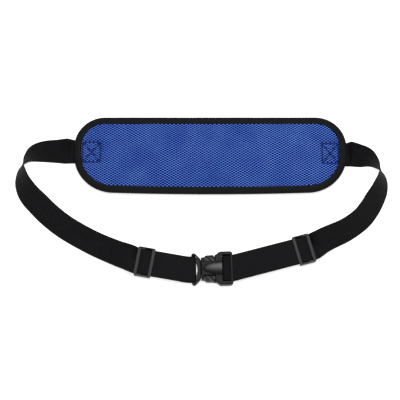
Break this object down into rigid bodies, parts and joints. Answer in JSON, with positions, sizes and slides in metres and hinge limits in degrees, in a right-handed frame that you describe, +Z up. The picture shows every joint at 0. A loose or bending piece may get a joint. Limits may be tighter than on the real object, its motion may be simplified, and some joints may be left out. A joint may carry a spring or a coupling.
{
  "type": "gait belt",
  "caption": "Padded gait belt lying closed on a table: mesh-faced back pad, webbing straps with slider adjusters, and a side-release buckle.",
  "frame": {"origin": "middle of the belt's outline in plan, on the surface that it lies on", "axes": "+X along the pad towards the buckle socket's strap, +Y from the buckle towards the pad, +Z up out of the pad's mesh face"},
  "size_m": [0.5838, 0.2722, 0.0385],
  "materials": {
    "spacer_mesh": "knitted spacer mesh",
    "foam": "closed-cell foam",
    "backing_cloth": "plain-woven pack cloth",
    "binding_tape": "ribbed woven tape",
    "webbing": "heavy woven webbing",
    "black_thread": "bonded thread",
    "navy_thread": "bonded thread",
    "slider_plastic": "moulded, satin",
    "buckle_plastic": "moulded, half gloss"
  },
  "bodies": {
    "belt": {"backing_panel": "backing_cloth", "foam_core": "foam", "mesh_panel": "spacer_mesh", "edge_binding": "binding_tape", "binding_stitching": "black_thread", "left_box_stitching": "navy_thread", "right_box_stitching": "navy_thread", "left_strap": "webbing", "right_strap": "webbing", "buckle_socket": "buckle_plastic"},
    "plug": {"buckle_plug": "buckle_plastic"},
    "upper_arm": {"upper_release_arm": "buckle_plastic"},
    "lower_arm": {"lower_release_arm": "buckle_plastic"},
    "left_slider": {"left_slider": "slider_plastic", "left_strap_tail": "webbing", "left_tail_stitching": "black_thread"},
    "right_slider": {"right_slider": "slider_plastic", "right_strap_tail": "webbing", "right_tail_stitching": "black_thread"}
  },
  "joints": [
    {"name": "buckle_release", "type": "slide", "parent": "belt", "child": "plug", "axis": [-0.9996, -0.0297, 0], "range_m": [0, 0.045], "deforming": ["left_strap", "upper_release_arm", "lower_release_arm"]},
    {"name": "upper_arm_press", "type": "hinge", "parent": "plug", "child": "upper_arm", "pos_m": [-0.0035, -0.09927, 0.00625], "axis": [0, 0, -1], "range_deg": [0, 8], "stiffness_Nm_per_rad": 0.4},
    {"name": "lower_arm_press", "type": "hinge", "parent": "plug", "child": "lower_arm", "pos_m": [-0.00279, -0.12326, 0.00625], "axis": [0, 0, 1], "range_deg": [0, 8], "stiffness_Nm_per_rad": 0.4},
    {"name": "left_slider_slide", "type": "slide", "parent": "plug", "child": "left_slider", "axis": [0.9848, -0.1736, 0], "range_m": [0, 0.045]},
    {"name": "right_slider_slide", "type": "slide", "parent": "belt", "child": "right_slider", "axis": [-0.9668, -0.2554, 0], "range_m": [0, 0.09]}
  ]
}
